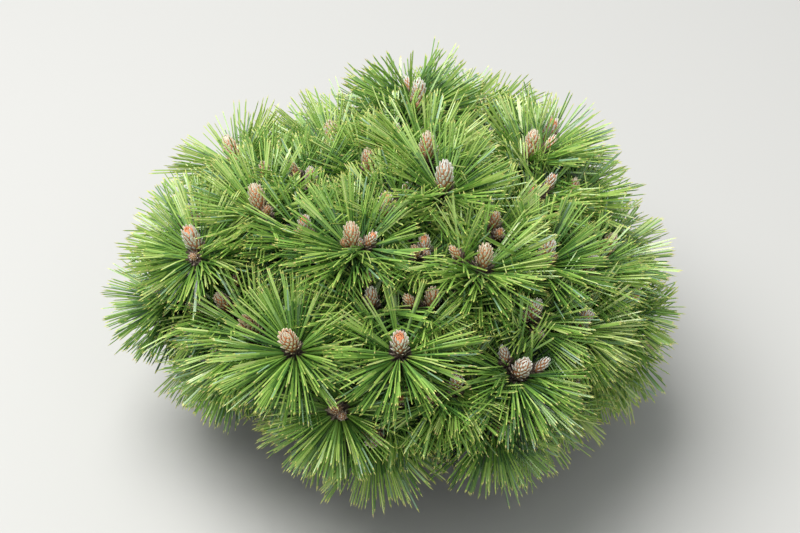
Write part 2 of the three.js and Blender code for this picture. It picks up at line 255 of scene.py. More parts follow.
# %% [markdown]
# From the places follow the limbs: a bough ends at its mass's root, the stem runs on to a fork, and from the
# fork a twig runs to each shoot. Low shoots lean out and high ones stand up, as shoots that turn to the
# light do. The test at the end holds each bud against the box of its own solid.

# %% Limbs and shoots
BOUGH_LIFT = 0.35
BOUGH_BOW = 0.45
MASS_DEPTH = 72
STEM_LENGTH = 14
NEEDLE_ZONE = 30
BUD_TIP = 27
SHOOT_UPTURN = 0.4
SHOOT_UPTURN_RANGE = 0.22
SHOOT_UPTURN_WAVER = 0.16


def level_across(start, end):
    """A level unit vector square to the way from start to end."""
    way = end - start
    return unit(np.stack([-way[..., 1], way[..., 0], np.zeros(way.shape[:-1])], -1))


def mass_limbs():
    """The direction, root and fork of each mass: out from the bough's foot to the mass, lifted a little.
    The top mass has no bough: it grows straight up from the trunk's tip, on a stem twice as long."""
    turn, rise = np.radians(mass_row[:, 0]), np.radians(mass_row[:, 1])
    middle = dome_point(turn, rise)
    centre = DOME_CENTRE + middle + dome_normal(middle) * mass_row[:, 2:3]
    direction = unit(unit(centre - mass_foot) + BOUGH_LIFT * UP)
    root = centre - MASS_DEPTH * direction
    fork = root + STEM_LENGTH * direction
    direction[0], root[0], fork[0] = UP, mass_foot[0], mass_foot[0] + 2 * STEM_LENGTH * UP
    return direction, root, fork


def shoot_axes():
    """Each shoot's axis lies between the way out of the dome and straight up, by its upturn."""
    height = np.clip(shoot_place[:, 2:] / DOME_HALF_HEIGHT, -1, 1)
    upturn = SHOOT_UPTURN + SHOOT_UPTURN_RANGE * height
    upturn += SHOOT_UPTURN_WAVER * waver(np.arange(len(shoot_mass)), "upturn")[:, None]
    return unit(dome_normal(shoot_place) * (1 - upturn) + UP * upturn)


mass_direction, mass_root, mass_fork = mass_limbs()
shoot_axis = shoot_axes()
shoot_collar = DOME_CENTRE + shoot_place + dome_normal(shoot_place) * shoot_reach[:, None]
shoot_start = shoot_collar - NEEDLE_ZONE * shoot_axis
bud_tips = shoot_collar + BUD_TIP * shoot_axis
boxes = np.array([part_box(f"foliage_{mass_names[m]}") for m in shoot_mass]) / MM
outside = np.maximum(boxes[:, 0] - bud_tips, bud_tips - boxes[:, 1]).max()
print("buds lie inside their solids' boxes by", round(-outside, 2), "mm or more")

# %% [markdown]
# Side shoots are the finer growth that the solids leave out: a short spur from the flank of a shoot, with a
# few needles and a small bud. They could be placed by hand; here a seeded draw gives one or two to some
# shoots, turned any way round, and each grows up until its bud stands beside the main one. From here on main
# and side shoots are one list, told apart by their size. Vigour is how long a shoot's needles grow, against
# the mean.

# %% Side shoots
SEED = 20
SIDE_ODDS = (0.4, 0.42, 0.18)
SIDE_SIZE = (0.5, 0.68)
SIDE_TILT = (34, 56)
SIDE_LEAVES = (8, 17)
SIDE_LENGTH = (18, 27)
SIDE_UPTURN = 0.5
LEADER_VIGOUR = 1.05
FOLLOWER_VIGOUR = 0.95
SIDE_VIGOUR = 0.84
WHOLE_TURN = (0, 2 * math.pi)
random = np.random.default_rng(SEED)


def turned_frame(axis, across):
    """Two unit vectors square to the axis and to each other, the first square to across as well."""
    side = unit(np.cross(axis, across))
    return side, np.cross(side, axis)


def draw(limits, shape):
    """An even draw between two limits."""
    return random.uniform(limits[0], limits[1], shape)


def side_shoots():
    """A spur leaves its shoot below the collar, tilts away from the axis and ends in a collar of its own."""
    count = random.choice(len(SIDE_ODDS), len(shoot_mass), p=SIDE_ODDS)
    parent = np.repeat(np.arange(len(shoot_mass)), count)
    number = len(parent)
    axis = shoot_axis[parent]
    side, other = turned_frame(axis, level_across(mass_fork[shoot_mass[parent]], shoot_collar[parent]))
    away = turned(side, other, draw(WHOLE_TURN, (number, 1)))
    lean = unit(turned(axis, away, np.radians(draw(SIDE_TILT, (number, 1)))))
    start = shoot_collar[parent] - axis * draw(SIDE_LEAVES, (number, 1))
    collar = start + lean * draw(SIDE_LENGTH, (number, 1))
    return parent, start, collar, unit(lean + SIDE_UPTURN * UP), draw(SIDE_SIZE, number)


side_parent, side_start, side_collar, side_axis, side_size = side_shoots()
main_count = len(shoot_mass)
growth_parent = np.concatenate([np.arange(main_count), side_parent])
growth_mass = shoot_mass[growth_parent]
growth_collar = np.concatenate([shoot_collar, side_collar])
growth_axis = np.concatenate([shoot_axis, side_axis])
growth_size = np.concatenate([np.ones(main_count), side_size])
growth_vigour = np.concatenate([np.where(shoot_leads, LEADER_VIGOUR, FOLLOWER_VIGOUR),
                                np.full(len(side_parent), SIDE_VIGOUR)])
growth_across = level_across(mass_fork[growth_mass], growth_collar)
growth_height = np.clip((growth_collar - DOME_CENTRE)[:, 2] / DOME_HALF_HEIGHT, -1, 1)
print("side shoots:", len(side_parent), "all shoots:", len(growth_mass))

# %% [markdown]
# Nearly every part of a pine is a slim thing swept along a line: a needle, a scale, a twig, a bough. So one
# function sweeps a cross-section along a path, for thousands of paths at once. Geometry Nodes could do the
# same; arrays keep the formula in view and give plain meshes.

# %% Sweeping sections along paths
def sweep(path, across, section):
    """Points of many bars. path is (bars, rings, 3). At each ring, side is across made square to the path,
    and other is square to both. A point is the path plus section's first number along side plus its second
    along other. section is (bars or 1, rings, corners, 2)."""
    along = unit(np.gradient(path, axis=1))
    across = across[:, None]
    side = unit(across - (across * along).sum(-1, keepdims=True) * along)
    other = np.cross(along, side)
    return path[:, :, None] + section[..., :1] * side[:, :, None] + section[..., 1:] * other[:, :, None]


def walls_between(ring):
    """Four-cornered faces from each ring to the next. ring holds corner numbers, (bars, rings, corners)."""
    beside = np.roll(ring, -1, axis=2)
    return np.stack([ring[:, :-1], beside[:, :-1], beside[:, 1:], ring[:, 1:]], -1)


def circle(radius, corners, first=0.0):
    """A ring of corners: radius times the cosine and the sine of even turns from the first. radius may be
    an array."""
    turn = first + np.arange(corners) * 2 * np.pi / corners
    return np.asarray(radius)[..., None, None] * np.stack([np.cos(turn), np.sin(turn)], -1)


print("corners of a circle of three:", circle(1, 3).round(2).tolist())

# %% [markdown]
# A mesh can be built with bmesh, one corner and one face at a time, but the plant has some seven hundred
# thousand corners. foreach_set takes a whole array in one go. Each face also says which of the object's
# finishes it wears, so a single mesh can hold needles of nine greens.

# %% Putting points into meshes
def put_mesh(name, points, faces, finishes, materials, smooth):
    """One object at the origin from points in mm, and faces as (polygons, corners) arrays of any width with
    a finish number for each polygon."""
    mesh = bpy.data.meshes.new(name)
    points = points.reshape(-1, 3)
    faces = [face.reshape(-1, face.shape[-1]) for face in faces]
    widths = np.concatenate([np.full(len(face), face.shape[-1]) for face in faces])
    loops = np.concatenate([face.ravel() for face in faces])
    mesh.vertices.add(len(points))
    mesh.vertices.foreach_set("co", (points * MM).astype(np.float32).ravel())
    mesh.loops.add(len(loops))
    mesh.loops.foreach_set("vertex_index", loops.astype(np.int32))
    mesh.polygons.add(len(widths))
    mesh.polygons.foreach_set("loop_start", (np.cumsum(widths) - widths).astype(np.int32))
    mesh.polygons.foreach_set("material_index", np.concatenate(finishes).astype(np.int32))
    mesh.polygons.foreach_set("use_smooth", np.full(len(widths), smooth))
    mesh.update(calc_edges=True)
    for material in materials:
        mesh.materials.append(material)
    piece = bpy.data.objects.new(name, mesh)
    bpy.context.scene.collection.objects.link(piece)
    print(f"{name}: {int((widths - 2).sum())} triangles")
    return piece


def put_bars(name, points, finish, materials, smooth):
    """Swept points, (bars, rings, corners, 3), as one mesh of closed bars. finish gives the finish number of
    each stretch between two rings, (bars or 1, rings - 1 or 1), and end caps take those of the end ones."""
    bars, rings, corners = points.shape[:3]
    ring = np.arange(bars * rings * corners).reshape(bars, rings, corners)
    stretch = np.broadcast_to(finish, (bars, rings - 1))
    faces = [walls_between(ring), ring[:, 0, ::-1], ring[:, -1]]
    finishes = [np.repeat(stretch.ravel(), corners), stretch[:, 0], stretch[:, -1]]
    return put_mesh(name, points, faces, finishes, materials, smooth)


def settle(piece, nodes):
    """The piece moves with the plant's one body and stands for those solids."""
    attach(piece, "root")
    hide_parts(*nodes)


# %% [markdown]
# A finish starts from what the real surface is. Small functions serve every one: hex colours turn from
# screen values into the linear ones that the renderer works in, one function adds a node with its settings
# and links, and one gives a skin its grain. The grain is read from Object coordinates, in which a pattern
# has a real size and stays put when the view turns.

# %% Tools for finishes
def linear(hex_colour):
    """Screen values to linear: v / 12.92 for dark ones, else ((v + 0.055) / 1.055) to the power 2.4."""
    screen = [int(hex_colour[i:i + 2], 16) / 255 for i in (1, 3, 5)]
    return [v / 12.92 if v <= 0.04045 else ((v + 0.055) / 1.055) ** 2.4 for v in screen] + [1.0]


def add_node(tree, kind, settings=None, sockets=None, links=None):
    """Adds one node: settings are its own properties, sockets its input values, links its input wires."""
    node = tree.nodes.new(kind)
    for name, value in (settings or {}).items():
        setattr(node, name, value)
    for name, value in (sockets or {}).items():
        node.inputs[name].default_value = value
    for name, wire in (links or {}).items():
        tree.links.new(wire, node.inputs[name])
    return node


def new_material(name, shader_sockets):
    """A material with one shader, made ready for wires: returns the material, its tree and its shader."""
    material = bpy.data.materials.new(name)
    material.use_nodes = True
    tree = material.node_tree
    tree.nodes.clear()
    shader = add_node(tree, "ShaderNodeBsdfPrincipled", sockets=shader_sockets)
    add_node(tree, "ShaderNodeOutputMaterial", links={"Surface": shader.outputs["BSDF"]})
    return material, tree, shader


def roughen(tree, shader, grain, detail, strength, depth):
    """Gives a skin bumps of this grain and depth, in mm, and returns the noise they follow: the noise's scale
    is one over the grain."""
    place = add_node(tree, "ShaderNodeTexCoord")
    noise = add_node(tree, "ShaderNodeTexNoise", sockets={"Scale": 1 / (grain * MM), "Detail": detail},
                     links={"Vector": place.outputs["Object"]})
    bump = add_node(tree, "ShaderNodeBump", sockets={"Strength": strength, "Distance": depth * MM},
                    links={"Height": noise.outputs["Fac"]})
    tree.links.new(bump.outputs["Normal"], shader.inputs["Normal"])
    return noise


# %% [markdown]
# A pine needle is a stiff green blade under a thin coat of wax. The wax gives a broad, dull gleam rather
# than a sparkle, and rows of breathing pores roughen it along its length. Its green isn't one green: fresh
# needles are bright and warm, older ones deep and cool, some show a blue-grey side where the pores lie close,
# and every needle pales towards a horny yellow tip. The deepest greens are also painted shade inside the
# mound, and the blue-grey is also a painted sheen of the pale sky on the brighter needles. These colours have
# a place, so they are plain colours dealt out needle by needle and ring by ring. The pores are too fine to
# show from
# here: their rows are drawn as a grain of their own spacing, which only dulls the gleam.

# %% Needle finishes
NEEDLE_GREENS = ("#bdd07c", "#a4c25e", "#8ab24d", "#6f9b42", "#538038", "#385f31", "#233b29", "#15231b")
WAX_ROUGHNESS = 0.34
WAX_IOR = 1.5
WAX_SPECULAR = 1.0
PORE_SPACING = 0.35
PORE_DEPTH = 0.02
PORE_DETAIL = 1.0
PORE_STRENGTH = 0.3


def needle_material(name, colour, roughness):
    """One plain colour under wax, with a fine bump at the spacing of the pore rows."""
    sockets = {"Base Color": linear(colour), "Roughness": roughness, "IOR": WAX_IOR,
               "Specular IOR Level": WAX_SPECULAR}
    material, tree, shader = new_material(name, sockets)
    roughen(tree, shader, PORE_SPACING, PORE_DETAIL, PORE_STRENGTH, PORE_DEPTH)
    return material


needle_finishes = [needle_material(f"needle_wax_{i}", colour, WAX_ROUGHNESS)
                   for i, colour in enumerate(NEEDLE_GREENS)]
# The tip is bare horn without wax, so it is yellower and duller, and straw-coloured where it has dried.
TIP_FINISH = len(needle_finishes)
needle_finishes.append(needle_material("needle_horny_tip", "#cdd06c", 0.5))
needle_finishes.append(needle_material("needle_horny_tip_dry", "#ccba78", 0.6))
# The sheath is a roll of thin dry scales, brown and matt as old paper.
SHEATH_FINISH = len(needle_finishes)
needle_finishes.append(needle_material("needle_sheath_papery", "#62564a", 0.8))
# Where the rows of pores lie close, their wax is a pale powder that turns the green bluish and dull. The
# same blue-grey is also a painted sheen of the pale sky, so only brighter needles take it.
BLUISH_FINISH = len(needle_finishes)
needle_finishes.append(needle_material("needle_wax_bluish_and_sheen", "#8fb38e", 0.42))
print("needle finishes:", len(needle_finishes))

# %% [markdown]
# Needles stand in pairs, each pair in one papery sheath. They wind up the shoot by the golden angle, which
# is how the growing tip lays them down, and the oldest have folded furthest out. A particle system could
# scatter them, but it would be lost in the exported model, so each needle is worked out here as an arc.

# %% Where the pairs of needles stand
GOLDEN_ANGLE = math.pi * (3 - math.sqrt(5))
PAIRS_PER_SHOOT = 240
SIDE_PAIR_SHARE = 0.45
SHOOT_RADIUS = 4.7
CORE_FOOT_RADIUS = 3.6
PAIR_FIRST = 3.0
PAIR_LAST = 26.0
PAIR_TOP_ANGLE = 44
PAIR_CLOSING = 3
PAIR_LAST_ANGLE = 104
PAIR_LAST_CLOSING = 18
PAIR_ANGLE_POWER = 0.75
PAIR_ANGLE_WAVER = 4.5
PAIR_TURN_WAVER = 0.06
RANK_COUNT = 11
RANK_PULL = 0.7
NEEDLE_LENGTH = 54
NEEDLE_LENGTH_WAVER = 0.08
LENGTH_LEAST = 0.9
LENGTH_GAIN = 0.16
LENGTH_LEAD = 0.15
SUNK_IN_SHOOT = 0.6


def new_pairs():
    """Pairs on this year's part of every shoot. Age runs from 0 at the bud to 1 at the oldest. A pair's
    angle from the axis goes from the top angle to the last one with a power of its age; shoots high on the
    dome are more closed. Its turn is the golden angle times its number, drawn towards even ranks so that
    needles gather in combed tufts. The length follows half a sine wave of age, begun early: the middle
    needles are the longest, and the oldest are shorter than the ones by the bud."""
    share = np.where(growth_size < 1, growth_size * SIDE_PAIR_SHARE, 1)
    count = np.round(PAIRS_PER_SHOOT * share).astype(int)
    shoot, number = count_off(count)
    age = (number + 0.5) / count[shoot]
    size = growth_size[shoot]
    turn = number * GOLDEN_ANGLE + draw(WHOLE_TURN, len(count))[shoot]
    turn += random.normal(0, PAIR_TURN_WAVER, len(shoot))
    phase = draw(WHOLE_TURN, len(count))[shoot]
    turn += RANK_PULL * np.sin(RANK_COUNT * turn + phase) / RANK_COUNT
    first = PAIR_TOP_ANGLE - PAIR_CLOSING * growth_height[shoot]
    last = PAIR_LAST_ANGLE - PAIR_LAST_CLOSING * np.clip(growth_height[shoot], 0, 1)
    spread = first + (last - first) * age ** PAIR_ANGLE_POWER
    open_angle = np.radians(spread + random.normal(0, PAIR_ANGLE_WAVER, len(shoot)))
    side, other = turned_frame(growth_axis, growth_across)
    outward = turned(other[shoot], side[shoot], turn[:, None])
    axis = growth_axis[shoot]
    depth = (PAIR_FIRST + (PAIR_LAST - PAIR_FIRST) * age) * size
    skin = (SHOOT_RADIUS + (CORE_FOOT_RADIUS - SHOOT_RADIUS) * age) * size
    root = growth_collar[shoot] - axis * depth[:, None] + outward * (skin - SUNK_IN_SHOOT)[:, None]
    direction = turned(axis, outward, open_angle[:, None])
    wave = np.sin(np.pi * np.clip(age + LENGTH_LEAD, 0, 1))
    length = NEEDLE_LENGTH * (LENGTH_LEAST + LENGTH_GAIN * wave)
    length *= growth_vigour[shoot] * (1 + random.normal(0, NEEDLE_LENGTH_WAVER, len(shoot)))
    return shoot, age, root, direction, length


new_shoot, new_age, new_root, new_direction, new_length = new_pairs()
print("pairs on new wood:", len(new_shoot))

# %% [markdown]
# A growing bud shoves aside the needles that lie across it, so nearly every bud of the real plant stands
# clear. To bend each needle round its neighbours would take a simulation. Here a pair that comes too near the
# bud of another shoot, past its own foot, is left out, which looks the same, because the whorls are dense.

# %% Room round the buds
BUD_ROOM = 12.5
BUD_ROOM_LENGTH = 22.0
BUD_ROOM_BELOW = 9.0
TESTED_SHARES = (0.3, 0.48, 0.65, 0.82, 1.0)


def crosses_a_bud(shoot, root, direction, length):
    """True for each pair that has one of its tested points nearer to the axis of another shoot's bud than
    BUD_ROOM times that shoot's size. The nearest place on that axis is the point's own part along it, held
    to the bud's length and a little of the shoot below it."""
    crossing = np.zeros(len(shoot), bool)
    for share in TESTED_SHARES:
        place = root + direction * (length * share)[:, None]
        from_collar = place[:, None] - growth_collar[None]
        along = (from_collar * growth_axis).sum(-1)
        along = np.clip(along, -BUD_ROOM_BELOW * growth_size, BUD_ROOM_LENGTH * growth_size)
        distance = np.linalg.norm(from_collar - along[..., None] * growth_axis, axis=-1) / growth_size
        distance[np.arange(len(shoot)), shoot] = BUD_ROOM
        crossing |= distance.min(axis=1) < BUD_ROOM
    return crossing


clear = ~crosses_a_bud(new_shoot, new_root, new_direction, new_length)
new_shoot, new_age, new_root = new_shoot[clear], new_age[clear], new_root[clear]
new_direction, new_length = new_direction[clear], new_length[clear]
print("pairs left clear of the buds:", len(new_shoot))

# %% [markdown]
# Behind this year's needles the twig still carries last year's: fewer, darker, and standing straight out.
# They fill the inside of the mound, which is why a real one looks dark and deep between its whorls. Their
# deepest greens are partly painted shade of that inside.

# %% Pairs on old wood
OLD_PAIRS = 22
OLD_REACH = 0.62
OLD_ANGLE = (62, 108)
OLD_LENGTH = 49
OLD_AGE = 1.4
TWIG_RADIUS = 2.6
SUNK_IN_TWIG = 0.5


def old_pairs():
    """Pairs between the fork and the start of each main shoot, at draws along that twig."""
    shoot = np.repeat(np.arange(main_count), OLD_PAIRS)
    fork = mass_fork[shoot_mass[shoot]]
    way = unit(fork - shoot_start[shoot])
    share = draw((0, OLD_REACH), (len(shoot), 1))
    middle = shoot_start[shoot] + (fork - shoot_start[shoot]) * share
    side, other = turned_frame(-way, growth_across[shoot])
    outward = turned(other, side, draw(WHOLE_TURN, (len(shoot), 1)))
    direction = turned(-way, outward, np.radians(draw(OLD_ANGLE, (len(shoot), 1))))
    length = OLD_LENGTH * (1 + random.normal(0, NEEDLE_LENGTH_WAVER, len(shoot)))
    return shoot, middle + outward * (TWIG_RADIUS - SUNK_IN_TWIG), direction, length


old_shoot, old_root, old_direction, old_length = old_pairs()
pair_shoot = np.concatenate([new_shoot, old_shoot])
pair_age = np.concatenate([new_age, np.full(len(old_shoot), OLD_AGE)])
pair_root = np.concatenate([new_root, old_root])
pair_direction = np.concatenate([new_direction, old_direction])
pair_length = np.concatenate([new_length, old_length])
print("pairs in all:", len(pair_shoot), "needles:", 2 * len(pair_shoot))

# %% [markdown]
# Each needle is part of a circle: it leaves its sheath along one direction and bends towards another, partly
# down under its own weight and partly at random. The two of a pair bend alike and part by a few degrees. A
# three-sided section with four rings and a sharp point is enough for a thing two pixels wide, and keeps the
# needles under a million triangles.

# %% Needles as arcs
PAIR_PARTING = (3.0, 8.5)
BEND_WEIGHT = 0.5
BEND_WAVER = 0.28
BEND_ANGLE = (2, 13)
NEEDLE_HALF_WIDTH = 0.84
NEEDLE_HALF_DEPTH = 0.58
NEEDLE_RINGS = np.array([0.0, 0.12, 0.6, 0.95, 1.0])
NEEDLE_TAPER = np.array([0.75, 0.95, 1.0, 0.8])
NEEDLE_SIDES = 3
TWIN_LENGTH_WAVER = 0.02
GROUND_CLEARANCE = 1.5
REACH_MARGIN = 12.0
SOFT_FROM = 0.7
LEAST_ROOM = 0.1
TINY = 1e-6


def needle_arcs(root, direction, length, share, pair):
    """Points of each arc at the shares of its length. With bend angle k, the point at share s is the root
    plus length times (direction sin(ks) + bend (1 - cos(ks))) / k, a circle through the root."""
    pull = (-BEND_WEIGHT * UP + random.normal(0, BEND_WAVER, (len(pair_root), 3)))[pair]
    bend = unit(pull - (pull * direction).sum(-1, keepdims=True) * direction)
    angle = np.radians(draw(BEND_ANGLE, (len(pair_root), 1, 1)))[pair]
    swept = angle * share[None, :, None]
    arc = (direction[:, None] * np.sin(swept) + bend[:, None] * (1 - np.cos(swept))) / angle
    return root[:, None] + length[:, None, None] * arc


def keep_in_reach(path):
    """A needle that comes near the ground or the plant's reach is drawn in towards its root along that one
    direction. Its share q of the room there stays as it is up to the soft share s, and past it becomes
    s + (1 - s) (1 - e^((s - q) / (1 - s))), which never reaches 1, so that no side looks cut flat. The room
    counts as at least a tenth of the needle's own way, because a root may lie at the limit itself."""
    low = np.append(box_low[:2] - REACH_MARGIN, box_low[2] + GROUND_CLEARANCE)
    root = path[:, :1]
    way = path - root
    furthest = np.abs(way).max(1, keepdims=True) + TINY
    room = np.where(way[:, -1:] > 0, box_high + REACH_MARGIN - root, root - low)
    share = furthest / np.maximum(room, LEAST_ROOM * furthest)
    drawn_in = SOFT_FROM + (1 - SOFT_FROM) * (1 - np.exp((SOFT_FROM - share) / (1 - SOFT_FROM)))
    return root + way * np.where(share > SOFT_FROM, drawn_in / share, 1)


def make_needles():
    """Both needles of every pair: their paths, the directions across them and their pair's number."""
    pair = np.repeat(np.arange(len(pair_root)), 2)
    hand = np.tile([-1.0, 1.0], len(pair_root))[:, None]
    direction = pair_direction[pair]
    across = unit(np.cross(direction, np.repeat(random.normal(0, 1, (len(pair_root), 3)), 2, axis=0)))
    parting = np.tan(np.radians(draw(PAIR_PARTING, (len(pair_root), 1))))[pair] / 2
    apart = np.cross(direction, across)
    direction = unit(direction + hand * parting * apart)
    root = pair_root[pair] + hand * apart * NEEDLE_HALF_DEPTH / 2
    length = pair_length[pair] * (1 + random.normal(0, TWIN_LENGTH_WAVER, len(pair)))
    path = keep_in_reach(needle_arcs(root, direction, length, NEEDLE_RINGS, pair))
    return path, across, pair


needle_path, needle_across, needle_pair = make_needles()
print("needle tips span", np.ptp(needle_path[:, -1], axis=0).round(0), "mm")

# %% [markdown]
# Now the greens are dealt out. Old needles take deeper greens than new ones, as real ones do, and the
# deepest greens of the oldest are also painted shade deep in the mound. Low shoots take deeper greens than
# high ones, which is painted shade. Each shoot is a little brighter or duller than its neighbours, and within
# a needle the part near the sheath is a step or two darker than the rest, painted shade of the whorl's
# inside. The needles go into joined pieces by whorl and by part of it, each of which takes the place of its
# own masses of foliage.

# %% Needles as meshes
TONE_NEW = 1.1
# Older needles are really deeper green. How deep the oldest go is also painted shade of the mound's inside.
TONE_AGE = 3.5
TONE_AGE_POWER = 1.5
# Low shoots take deeper greens: painted shade, for the lower part of the mound that gets less light.
LOW_SHOOT_SHADE = 0.4
# Last year's needles take the deepest greens: partly their own colour, partly painted shade deep in the
# mound.
TONE_OLD = 6.6
SHOOT_TONE_WAVER = 0.4
PAIR_TONE_WAVER = 0.45
NEEDLE_TONE_WAVER = 0.55
# The part of a needle near its sheath is one or two greens deeper: painted shade of the whorl's inside.
INNER_SHADE_ODDS = 0.55
TIP_DRY_SHARE = 0.08
# Part pale wax and part painted sheen of the sky: a few of the brighter needles turn blue-grey.
BLUISH_SHARE = 0.04
BLUISH_UNDER_TONE = 4
NEEDLE_PARTS = {"crown": 2, "flank": 3, "skirt": 2}


def needle_tones():
    """The number of each needle's green: by age, by shoot, by pair and by itself, rounded to a whole one."""
    # The first term of by_shoot is painted shade: the lower the shoot stands, the deeper its greens.
    by_shoot = LOW_SHOOT_SHADE * (1 - growth_height) / 2 + random.normal(0, SHOOT_TONE_WAVER, len(growth_mass))
    by_pair = random.normal(0, PAIR_TONE_WAVER, len(pair_shoot))
    by_age = np.where(pair_age > 1, TONE_OLD, TONE_NEW + TONE_AGE * pair_age ** TONE_AGE_POWER)
    by_needle = random.normal(0, NEEDLE_TONE_WAVER, len(needle_pair))
    return np.round((by_age + by_shoot[pair_shoot] + by_pair)[needle_pair] + by_needle)


def needle_faces(count, rings):
    """Corner numbers of bars with three corners a ring and a last one at the tip: the walls, the triangles
    that close on the tip, and the foot."""
    round_corners = NEEDLE_SIDES * rings
    first = np.arange(count)[:, None, None] * (round_corners + 1)
    ring = first + np.arange(round_corners).reshape(rings, NEEDLE_SIDES)
    last = ring[:, -1]
    tip = np.broadcast_to(first[:, 0] + round_corners, last.shape)
    return walls_between(ring), np.stack([last, np.roll(last, -1, axis=1), tip], -1), ring[:, 0, ::-1]


def needle_piece(name, chosen, nodes):
    """The chosen needles as one mesh, with a finish for the sheath, the inner part, the outer part and the
    tip of each. It stands for those solids."""
    path = needle_path[chosen]
    count, rings = len(path), len(NEEDLE_TAPER)
    corner = circle(NEEDLE_TAPER, NEEDLE_SIDES) * np.array([NEEDLE_HALF_WIDTH, NEEDLE_HALF_DEPTH])
    bars = sweep(path[:, :-1], needle_across[chosen], corner[None]).reshape(count, -1, 3)
    points = np.concatenate([bars, path[:, -1:]], axis=1)
    deepest = len(NEEDLE_GREENS) - 1
    # Painted shade: the inner part is one or two greens deeper than the outer part.
    inner = np.clip(needle_tone[chosen] + 1 + (random.random(count) < INNER_SHADE_ODDS), 0, deepest)
    outer = np.clip(needle_tone[chosen], 0, deepest)
    # Partly painted sheen: only needles brighter than BLUISH_UNDER_TONE take the blue-grey of wax and sky.
    bluish = (random.random(count) < BLUISH_SHARE) & (outer < BLUISH_UNDER_TONE)
    outer = np.where(bluish, BLUISH_FINISH, outer)
    tip = TIP_FINISH + (random.random(count) < TIP_DRY_SHARE)
    sheath = np.full(count, SHEATH_FINISH)
    walls = np.repeat(np.stack([sheath, inner, outer], -1).ravel(), NEEDLE_SIDES)
    finishes = [walls, np.repeat(tip, NEEDLE_SIDES), sheath]
    piece = put_mesh(name, points, needle_faces(count, rings), finishes, needle_finishes, smooth=False)
    settle(piece, nodes)


def masses_of(whorl):
    """The numbers of a whorl's masses; the top mass goes with the crown."""
    own = [i for i, name in enumerate(mass_names) if name.startswith(whorl)]
    return [mass_names.index("top")] + own if whorl == "crown" else own


needle_tone = needle_tones()
needle_mass = growth_mass[pair_shoot[needle_pair]]
for whorl in WHORLS:
    for part, group in enumerate(np.array_split(masses_of(whorl), NEEDLE_PARTS[whorl])):
        needle_piece(f"needles_{whorl}_{part + 1}", np.isin(needle_mass, group),
                     [f"foliage_{mass_names[i]}" for i in group])

# %% [markdown]
# The winter buds are what catches the eye: cylinders with round tops, closed in rows of narrow scales. Each
# scale is rust brown where it hugs the bud and runs out into a loose, cream-white papery tip. Under the
# bud sits a ragged grey-brown ruff of older scales. A displaced cylinder would look carved, so every scale
# is its own little bar, set by the golden angle again.

# %% Bud finishes
BUD_SKIN_DETAIL = 2.0
BUD_SKIN_STRENGTH = 0.5
BUD_SKINS = {
    # The colour, the roughness, and the grain and its depth in mm. The heart is soaked with resin, which
    # gives it a low gleam over a coarse grain.
    "bud_heart_resin": ("#bd8157", 0.45, 0.8, 0.1),
    # The lower part of a scale is leathery and fine-grained, with less resin and less gleam.
    "bud_scale_rust": ("#d9a47b", 0.6, 0.5, 0.05),
    "bud_scale_salmon": ("#eca877", 0.6, 0.5, 0.05),
    # The tips are dead and dry as paper, full of air, which makes them pale and matt.
    "bud_scale_cream": ("#fffef8", 0.75, 0.5, 0.05),
    "bud_scale_blush": ("#fff4e0", 0.7, 0.5, 0.05),
    "bud_scale_frost": ("#ecedeb", 0.8, 0.5, 0.05),
    "bud_scale_brown": ("#e4d3b6", 0.75, 0.5, 0.05),
    # The scales that a bursting bud lays bare are fresh, wet with resin and glowing orange.
    "bud_scale_amber": ("#ffb080", 0.5, 0.8, 0.05),
    # A year of weather leaves the ruff grey-brown and quite without gloss. On buds of the shaded kind the
    # dark ruff brown and the brown tip are painted shade.
    "bud_ruff_papery": ("#a8978b", 0.85, 0.5, 0.08),
    "bud_ruff_dark": ("#6e5b50", 0.85, 0.5, 0.08),
}


def skin_material(name, colour, roughness, grain, depth):
    """A dry papery or resinous skin: one plain colour, and a bump whose grain is a real size in mm."""
    material, tree, shader = new_material(name, {"Base Color": linear(colour), "Roughness": roughness})
    roughen(tree, shader, grain, BUD_SKIN_DETAIL, BUD_SKIN_STRENGTH, depth)
    return material


bud_finishes = [skin_material(name, *skin) for name, skin in BUD_SKINS.items()]
HEART, RUST, SALMON, CREAM, BLUSH, FROST, BROWN, AMBER, RUFF, RUFF_DARK = range(len(bud_finishes))
print("bud finishes:", len(bud_finishes))

# %% [markdown]
# Every shoot ends in one bud. The shoot that leads its mass carries a larger one, and nearly half of the main
# shoots have one to three small buds pressed against the foot of the main one, next year's side shoots. They
# are drawn from odds rather than placed by hand, so that the back of the plant is as rich as the front.

# %% Buds placed
BUD_LENGTH = 22.0
BUD_RADIUS = 5.4
LEADER_BUD_SIZE = (1.02, 1.2)
FOLLOWER_BUD_SIZE = (0.72, 1.0)
CLUSTER_ODDS = (0.55, 0.28, 0.12, 0.05)
CLUSTER_SIZE = (0.42, 0.62)
CLUSTER_TILT = (8, 22)
CLUSTER_GAP = 0.7
CLUSTER_GAP_GROWTH = 0.6
CLUSTER_SINK = 2


